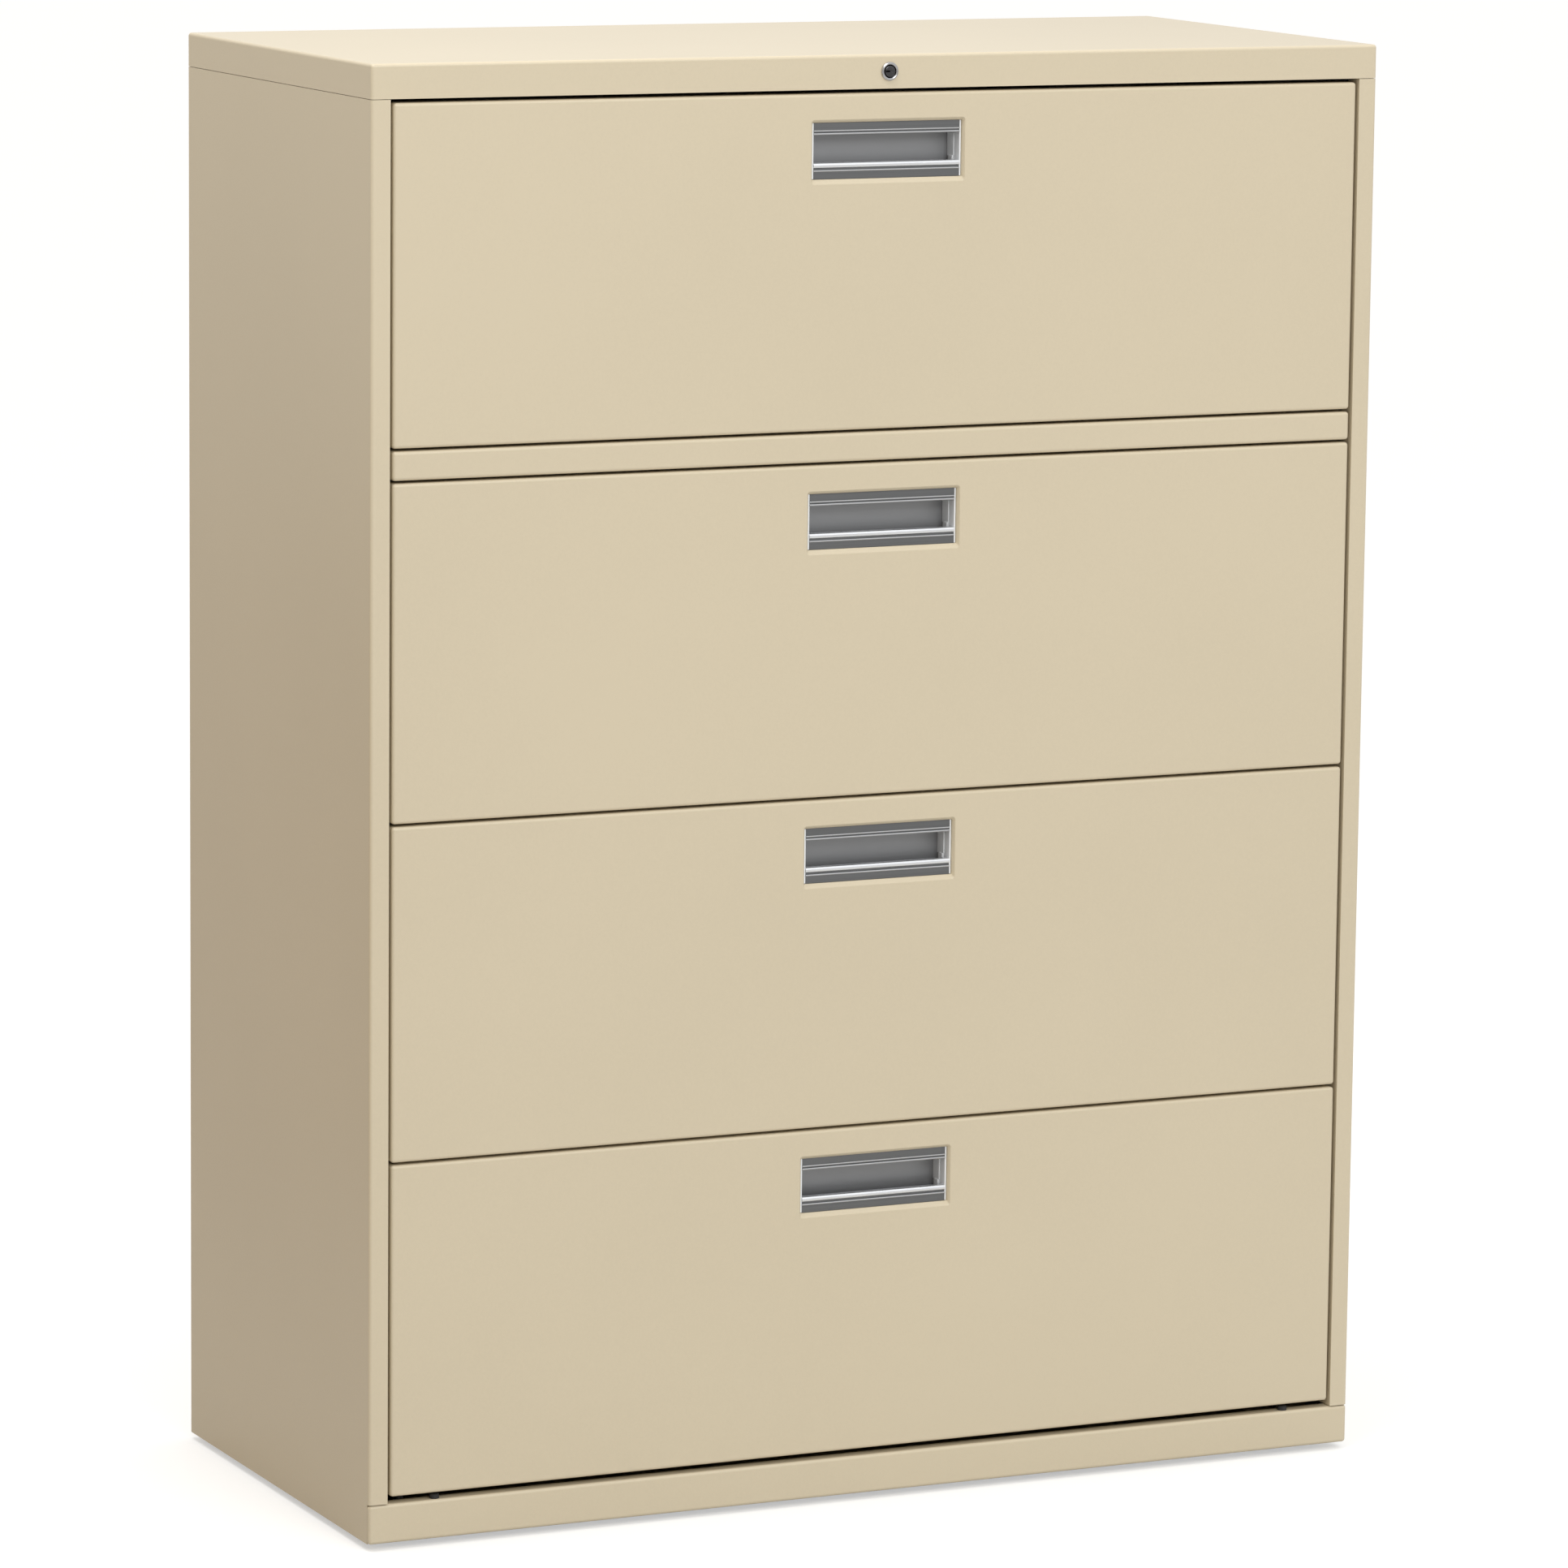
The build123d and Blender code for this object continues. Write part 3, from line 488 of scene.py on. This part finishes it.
# Drawer trays: floor and sides bent from one sheet, with the top edges hemmed inwards and the
# floor stiffened by pressed beads. Front and rear walls are welded in, and so is the lock's catch.
def folded_sheet(path, radii, thickness, steps=5):
    """Outline of a bent sheet: its middle line is path, with one bend radius per inner point."""
    line = [Vector(path[0])]
    for before, point, after, radius in zip(path, path[1:], path[2:], radii):
        to_before = (Vector(before) - Vector(point)).normalized()
        to_after = (Vector(after) - Vector(point)).normalized()
        half_angle = to_before.angle(to_after) / 2
        centre = Vector(point) + (to_before + to_after).normalized() * radius / math.sin(half_angle)
        start = Vector(point) + to_before * radius / math.tan(half_angle) - centre
        end = Vector(point) + to_after * radius / math.tan(half_angle) - centre
        for step in range(steps + 1):
            line.append(centre + start.lerp(end, step / steps).normalized() * radius)
    line.append(Vector(path[-1]))
    left, right = [], []
    for i, point in enumerate(line):
        ahead = (line[min(i + 1, len(line) - 1)] - line[max(i - 1, 0)]).normalized()
        normal = Vector((-ahead.y, ahead.x)) * thickness / 2
        left.append(point + normal)
        right.append(point - normal)
    return left + right[::-1]


def extrude_y(shape, outline, start, end):
    near = [shape.verts.new((x, start, z)) for x, z in outline]
    far = [shape.verts.new((x, end, z)) for x, z in outline]
    for i in range(len(outline)):
        j = (i + 1) % len(outline)
        shape.faces.new((near[i], near[j], far[j], far[i]))
    shape.faces.new(near)
    shape.faces.new(far)


hem_height, hem_bend, floor_bend = 0.008, 0.00049, 0.002
front_wall = 0.2
fold_share = 0.98
wall_round, catch_round = 0.0004, 0.0005
bead_places, bead_half, bead_end, bead_height = (-0.3, -0.1, 0.1, 0.3), 0.006, 0.04, 0.0022
catch_front, catch_rear, catch_bottom, catch_top = 0.021, 0.024, 0.138, 0.144
skin = sheet / 2
for n in drawer_numbers:
    low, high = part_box(f"drawer_tray_{n}")
    wide = -low.x
    inside = wide - sheet - skin
    half_path = [(inside, high.z - hem_height), (inside, high.z - skin)]
    half_path += [(wide - skin, high.z - skin), (wide - skin, low.z + skin)]
    path = half_path + [(-x, z) for x, z in reversed(half_path)]
    radii = [hem_bend, hem_bend, floor_bend, floor_bend, hem_bend, hem_bend]
    shape = bmesh.new()
    extrude_y(shape, folded_sheet(path, radii, sheet * fold_share), low.y + sheet, high.y - sheet)
    front_top = low.z + front_wall
    add_block(shape, (-wide, low.y, low.z), (wide, low.y + sheet, front_top), wall_round)
    add_block(shape, (-wide, high.y - sheet, low.z), (wide, high.y, high.z), wall_round)
    hem_side = inside - sheet
    for y, top in ((low.y + 1.5 * sheet, front_top), (high.y - 1.5 * sheet, high.z)):
        near = (-hem_side, y - skin, top - hem_height)
        add_block(shape, near, (hem_side, y + skin, top), wall_round)
    for x in bead_places:
        near = (x - bead_half, low.y + bead_end, low.z + skin)
        far = (x + bead_half, high.y - bead_end, low.z + bead_height)
        add_block(shape, near, far, bead_height / 2)
    near = (wide, low.y + catch_front, low.z + catch_bottom)
    far = (high.x, low.y + catch_rear, low.z + catch_top)
    add_block(shape, near, far, catch_round)
    add_piece(
        f"tray_{n}", shape, f"drawer_{n}", "tray_paint",
        f"drawer_tray_{n}", materials=[inner_putty_painted_shade],
    )


# Hanging rails: flat steel bars across the tray, rounded on top for the folders' hooks. Their
# ends step up and rest on the hemmed side walls.
rail_thickness, end_thickness = 0.002, 0.003
rail_gap, rail_round = 0.0003, 0.0005
for n in drawer_numbers:
    low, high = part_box(f"hang_rails_{n}")
    tray_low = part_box(f"drawer_tray_{n}")[0]
    shape = bmesh.new()
    reach = -tray_low.x - 2 * sheet - rail_gap
    step = high.z - end_thickness
    outline = [(-reach, low.z), (reach, low.z), (reach, step), (-low.x, step)]
    outline += [(-low.x, high.z), (low.x, high.z), (low.x, step), (-reach, step)]
    for rail_y in (low.y, high.y - rail_thickness):
        rail = bmesh.new()
        extrude_y(rail, outline, rail_y, rail_y + rail_thickness)
        bmesh.ops.recalc_face_normals(rail, faces=rail.faces)
        edges = rail.edges[:]
        bmesh.ops.bevel(
            rail, geom=edges, offset=rail_round, segments=3, profile=0.5, affect="EDGES"
        )
        rail_mesh = bpy.data.meshes.new("rail")
        rail.to_mesh(rail_mesh)
        rail.free()
        shape.from_mesh(rail_mesh)
        bpy.data.meshes.remove(rail_mesh)
    add_piece(
        f"folder_rails_{n}", shape, f"drawer_{n}", "slide_zinc",
        f"hang_rails_{n}", materials=[zinc],
    )


# Levelling glides: nylon foot with a rounded edge on a zinc-plated threaded stem, with a hexagon
# above the foot for a spanner.
def turned(shape, centre, profile, sides=32, slot=0):
    """Closed shape turned about a vertical axis, from radius and height pairs, bottom to top."""
    rows = []
    for radius, height in profile:
        row = []
        for i in range(sides):
            a = 2 * math.pi * i / sides
            x, y = centre.x + radius * math.cos(a), centre.y + radius * math.sin(a)
            row.append(shape.verts.new((x, y, height)))
        rows.append(row)
    made = [shape.faces.new(rows[0]), shape.faces.new(rows[-1])]
    for first, second in zip(rows, rows[1:]):
        for i in range(sides):
            j = (i + 1) % sides
            made.append(shape.faces.new((first[i], first[j], second[j], second[i])))
    for face in made:
        face.material_index = slot


foot_height, foot_round, foot_chamfer, foot_neck = 0.005, 0.0022, 0.001, 0.0078
stem, stem_tip = 0.00475, 0.001
hexagon, hexagon_chamfer, hexagon_height = 0.0072, 0.0004, 0.0012
thread_pitch, thread_depth = 0.00125, 0.0006
for corner in ("front_left", "front_right", "rear_left", "rear_right"):
    low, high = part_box(f"glide_{corner}")
    centre = (low + high) / 2
    foot, foot_top = (high.x - low.x) / 2, low.z + foot_height
    shape = bmesh.new()
    profile = [(foot - foot_chamfer, low.z), (foot, low.z + foot_chamfer)]
    for a in quarter:
        radius = foot - foot_round * (1 - math.cos(a))
        profile.append((radius, foot_top - foot_round * (1 - math.sin(a))))
    turned(shape, centre, profile + [(foot_neck, foot_top)])
    profile = [(hexagon - hexagon_chamfer, foot_top), (hexagon, foot_top + hexagon_chamfer)]
    turned(shape, centre, profile + [(hexagon, foot_top + hexagon_height)], sides=6, slot=1)
    crest = foot_top + hexagon_height
    root = stem - thread_depth
    thread = []
    while crest + thread_pitch < high.z - stem_tip:
        thread += [(root, crest), (stem, crest + thread_pitch * 0.4)]
        thread += [(stem, crest + thread_pitch * 0.6)]
        crest += thread_pitch
    turned(shape, centre, thread + [(root, crest), (stem - stem_tip, high.z)], slot=1)
    add_piece(
        f"glide_foot_{corner}", shape, f"glide_{corner}", "bare_steel",
        f"glide_{corner}", materials=[nylon, zinc],
    )


# Slides: three nested members a side, each rolled from zinc-plated strip, so their profiles have
# round corners inside and out. The outer one is on the uprights, the inner one on the tray.
def web_corners(web, turn, middle, half, radius):
    """Both corners of a channel's web, from its upper flange round to its lower one."""
    corner = []
    for a in quarter:
        depth = web - turn * (radius - radius * math.sin(a))
        corner.append((depth, half - radius + radius * math.cos(a)))
    upper = [(x, middle + z) for x, z in corner]
    return upper + [(x, middle - z) for x, z in reversed(corner)]


def channel(shape, web, tip, middle, half, start, end):
    """Rolled channels along Y on both sides, each open from its web at X towards its tip at X."""
    turn = 1 if tip < web else -1
    inner_half = half - strip_thickness
    inner_bend = max(bend - strip_thickness, 0.0003)
    outline = web_corners(web, turn, middle, half, bend)
    outline += [(tip, middle - half), (tip, middle - inner_half)]
    inner_web = web - turn * strip_thickness
    outline += web_corners(inner_web, turn, middle, inner_half, inner_bend)[::-1]
    outline += [(tip, middle + inner_half), (tip, middle + half)]
    for side in (1, -1):
        extrude_y(shape, [(side * x, z) for x, z in outline], start, end)


strip_thickness, bend = 0.0012, 0.002
flange_tip, inner_web_side = 0.4725, 0.4703
for n in drawer_numbers:
    carried_by = {"outer": "cabinet", "middle": f"slide_stage_{n}", "inner": f"drawer_{n}"}
    for member, body in carried_by.items():
        low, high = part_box(f"slide_{member}_{n}")
        web, tip = (inner_web_side, high.x) if member == "inner" else (high.x, flange_tip)
        middle, half = (low.z + high.z) / 2, (high.z - low.z) / 2
        shape = bmesh.new()
        channel(shape, web, tip, middle, half, low.y, high.y)
        add_piece(
            f"slide_{member}_rolled_{n}", shape, body, "slide_zinc",
            f"slide_{member}_{n}", materials=[zinc],
        )


# Ball cages: pierced steel strips above and below the middle member. They keep its polished
# balls apart, in one row towards the outer member and one towards the inner member.
def ball_rows(places, radius, material):
    """Geometry Nodes: one ball on each place, as a plain mesh."""
    tree = bpy.data.node_groups.new("ball_rows", "GeometryNodeTree")
    inputs = (
        ("Places", "NodeSocketGeometry"),
        ("Ball radius", "NodeSocketFloat"),
        ("Ball material", "NodeSocketMaterial"),
    )
    sockets = [
        tree.interface.new_socket(title, in_out="INPUT", socket_type=kind) for title, kind in inputs
    ]
    tree.interface.new_socket("Balls", in_out="OUTPUT", socket_type="NodeSocketGeometry")
    start, end = tree.nodes.new("NodeGroupInput"), tree.nodes.new("NodeGroupOutput")
    ball = tree.nodes.new("GeometryNodeMeshUVSphere")
    ball.inputs["Segments"].default_value = 16
    ball.inputs["Rings"].default_value = 10
    spread = tree.nodes.new("GeometryNodeInstanceOnPoints")
    smooth = tree.nodes.new("GeometryNodeSetShadeSmooth")
    real = tree.nodes.new("GeometryNodeRealizeInstances")
    skin = tree.nodes.new("GeometryNodeSetMaterial")
    link = tree.links.new
    link(start.outputs["Places"], spread.inputs["Points"])
    link(start.outputs["Ball radius"], ball.inputs["Radius"])
    link(ball.outputs["Mesh"], smooth.inputs["Geometry"])
    link(smooth.outputs["Geometry"], spread.inputs["Instance"])
    link(spread.outputs["Instances"], real.inputs["Geometry"])
    link(real.outputs["Geometry"], skin.inputs["Geometry"])
    link(start.outputs["Ball material"], skin.inputs["Material"])
    link(skin.outputs["Geometry"], end.inputs["Balls"])
    seed = bpy.data.meshes.new("ball_places")
    seed.from_pydata(places, [], [])
    holder = bpy.data.objects.new("ball_places", seed)
    bpy.context.scene.collection.objects.link(holder)
    modifier = holder.modifiers.new("ball_rows", "NODES")
    modifier.node_group = tree
    modifier[sockets[1].identifier] = radius
    modifier[sockets[2].identifier] = material
    graph = bpy.context.evaluated_depsgraph_get()
    result = bpy.data.meshes.new_from_object(holder.evaluated_get(graph))
    holder.modifiers.clear()
    bpy.data.objects.remove(holder)
    bpy.data.node_groups.remove(tree)
    bpy.data.meshes.remove(seed)
    return result


ball_steel = brushed_metal("ball_steel", (0.75, 0.75, 0.76), 0.12, 0.02, (40.0, 40.0, 40.0))
ball_radius, balls_in_row = 0.00145, 6
cage_strip = (0.005, 0.184, 0.001)
row_step = 0.0047
for n in drawer_numbers:
    low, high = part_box(f"ball_cages_{n}")
    middle = (low.z + high.z) / 2
    centre_x = high.x - cage_strip[0] / 2
    outer_row = (high.z - low.z) / 2 - ball_radius
    rear_row, front_row = high.y - cage_strip[1] / 2, low.y + cage_strip[1] / 2
    places = []
    shape = bmesh.new()
    for row, centre_y in ((outer_row, rear_row), (outer_row - row_step, front_row)):
        for side in (1, -1):
            for level in (middle - row, middle + row):
                centre = (side * centre_x, centre_y, level)
                near = [c - size / 2 for c, size in zip(centre, cage_strip)]
                far = [c + size / 2 for c, size in zip(centre, cage_strip)]
                add_block(shape, near, far)
                for i in range(balls_in_row):
                    along = (i - (balls_in_row - 1) / 2) * cage_strip[1] / balls_in_row
                    places.append((centre[0], centre_y + along, level))
    balls = ball_rows(places, ball_radius, ball_steel)
    for face in shape.faces:
        face.material_index = 1
    shape.from_mesh(balls)
    bpy.data.meshes.remove(balls)
    add_piece(
        f"ball_cage_rows_{n}", shape, f"slide_stage_{n}", "ball_steel",
        f"ball_cages_{n}", materials=[ball_steel, zinc],
    )


# Studio: white floor and backdrop, one large soft light above the front, a weaker one overhead.
# The light from the left is dimmer and warmer, and a low tan card stands on that side.
def stage_sheet(name, corners, colour, roughness):
    """Flat sheet of the studio, which isn't part of the cabinet."""
    mesh = bpy.data.meshes.new(name)
    mesh.from_pydata(corners, [], [(0, 1, 2, 3)])
    paint = bpy.data.materials.new(name)
    paint.use_nodes = True
    shader = paint.node_tree.nodes["Principled BSDF"]
    shader.inputs["Base Color"].default_value = (*colour, 1)
    shader.inputs["Roughness"].default_value = roughness
    mesh.materials.append(paint)
    made = bpy.data.objects.new(name, mesh)
    bpy.context.scene.collection.objects.link(made)
    made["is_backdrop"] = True
    return made, paint.node_tree, shader


floor_half = 60
corners = [(-floor_half, -floor_half, 0), (floor_half, -floor_half, 0)]
corners += [(floor_half, floor_half, 0), (-floor_half, floor_half, 0)]
tree, shader = stage_sheet("studio_floor", corners, (0.62, 0.615, 0.60), 0.9)[1:]
shader.inputs["Emission Color"].default_value = (0.98, 0.99, 1, 1)
seen = tree.nodes.new("ShaderNodeLightPath")
lift = tree.nodes.new("ShaderNodeMath")
lift.operation = "MULTIPLY"
lift.inputs[1].default_value = 0.48
tree.links.new(seen.outputs["Is Camera Ray"], lift.inputs[0])
tree.links.new(lift.outputs["Value"], shader.inputs["Emission Strength"])

card_x, card_front, card_rear, card_top = -1.35, -1.3, 1.6, 0.75
corners = [(card_x, card_front, 0), (card_x, card_rear, 0)]
corners += [(card_x, card_rear, card_top), (card_x, card_front, card_top)]
flag = stage_sheet("studio_flag", corners, (0.34, 0.23, 0.13), 1.0)[0]
flag.visible_camera = False

world = bpy.data.worlds.new("studio")
world.use_nodes = True
sky = world.node_tree
direction = sky.nodes.new("ShaderNodeTexCoord")
split = sky.nodes.new("ShaderNodeSeparateXYZ")
across = sky.nodes.new("ShaderNodeMath")
across.operation = "MULTIPLY_ADD"
across.inputs[1].default_value = 0.12
upward = sky.nodes.new("ShaderNodeMath")
upward.operation = "MULTIPLY_ADD"
upward.inputs[1].default_value = 0.37
upward.inputs[2].default_value = 0.6
warmth = sky.nodes.new("ShaderNodeMapRange")
warmth.inputs["From Min"].default_value = -0.8
warmth.inputs["From Max"].default_value = 0.1
glow = sky.nodes.new("ShaderNodeMix")
glow.data_type = "RGBA"
glow.inputs["A"].default_value = (1, 0.92, 0.83, 1)
glow.inputs["B"].default_value = (1, 1, 1, 1)
backdrop = sky.nodes.new("ShaderNodeBackground")
backdrop.inputs["Color"].default_value = (1, 1, 1, 1)
seen = sky.nodes.new("ShaderNodeLightPath")
choose = sky.nodes.new("ShaderNodeMixShader")
ambient = sky.nodes["Background"]
sky.links.new(direction.outputs["Generated"], split.inputs["Vector"])
sky.links.new(split.outputs["Z"], upward.inputs[0])
sky.links.new(split.outputs["X"], across.inputs[0])
sky.links.new(upward.outputs["Value"], across.inputs[2])
sky.links.new(split.outputs["X"], warmth.inputs["Value"])
sky.links.new(warmth.outputs["Result"], glow.inputs["Factor"])
sky.links.new(glow.outputs["Result"], ambient.inputs["Color"])
sky.links.new(across.outputs["Value"], ambient.inputs["Strength"])
sky.links.new(seen.outputs["Is Camera Ray"], choose.inputs["Fac"])
sky.links.new(ambient.outputs["Background"], choose.inputs[1])
sky.links.new(backdrop.outputs["Background"], choose.inputs[2])
sky.links.new(choose.outputs["Shader"], sky.nodes["World Output"].inputs["Surface"])
bpy.context.scene.world = world


def soft_light(name, place, target, size, power):
    lamp = bpy.data.lights.new(name, "AREA")
    lamp.shape = "RECTANGLE"
    lamp.size, lamp.size_y = size
    lamp.energy = power
    holder = bpy.data.objects.new(name, lamp)
    bpy.context.scene.collection.objects.link(holder)
    holder.location = place
    holder.rotation_euler = (Vector(target) - Vector(place)).to_track_quat("-Z", "Y").to_euler()


soft_light("front_light", (0.2, -5.0, 3.6), (0, 0, 0.9), (2.2, 2), 80)
soft_light("overhead_light", (-1.2, -0.4, 3.8), (0, 0, 1.3), (2.4, 1.6), 41)


# Camera: long lens without shift, to the left of the cabinet and a little above it, turned down
# towards the middle of its front.
lens = bpy.data.cameras.new("camera")
lens.sensor_width = 36
lens.lens = 174.7
lens.clip_end = 200
camera = bpy.data.objects.new("camera", lens)
bpy.context.scene.collection.objects.link(camera)
yaw, pitch, roll = math.radians(24.94), math.radians(9.15), math.radians(0.61)
camera.matrix_world = (
    Matrix.Translation((-2.966, -6.397, 1.7715))
    @ Matrix.Rotation(-yaw, 4, "Z")
    @ Matrix.Rotation(math.radians(90) - pitch, 4, "X")
    @ Matrix.Rotation(roll, 4, "Z")
)
bpy.context.scene.camera = camera
bpy.context.scene.view_settings.view_transform = "Standard"

low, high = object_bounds()
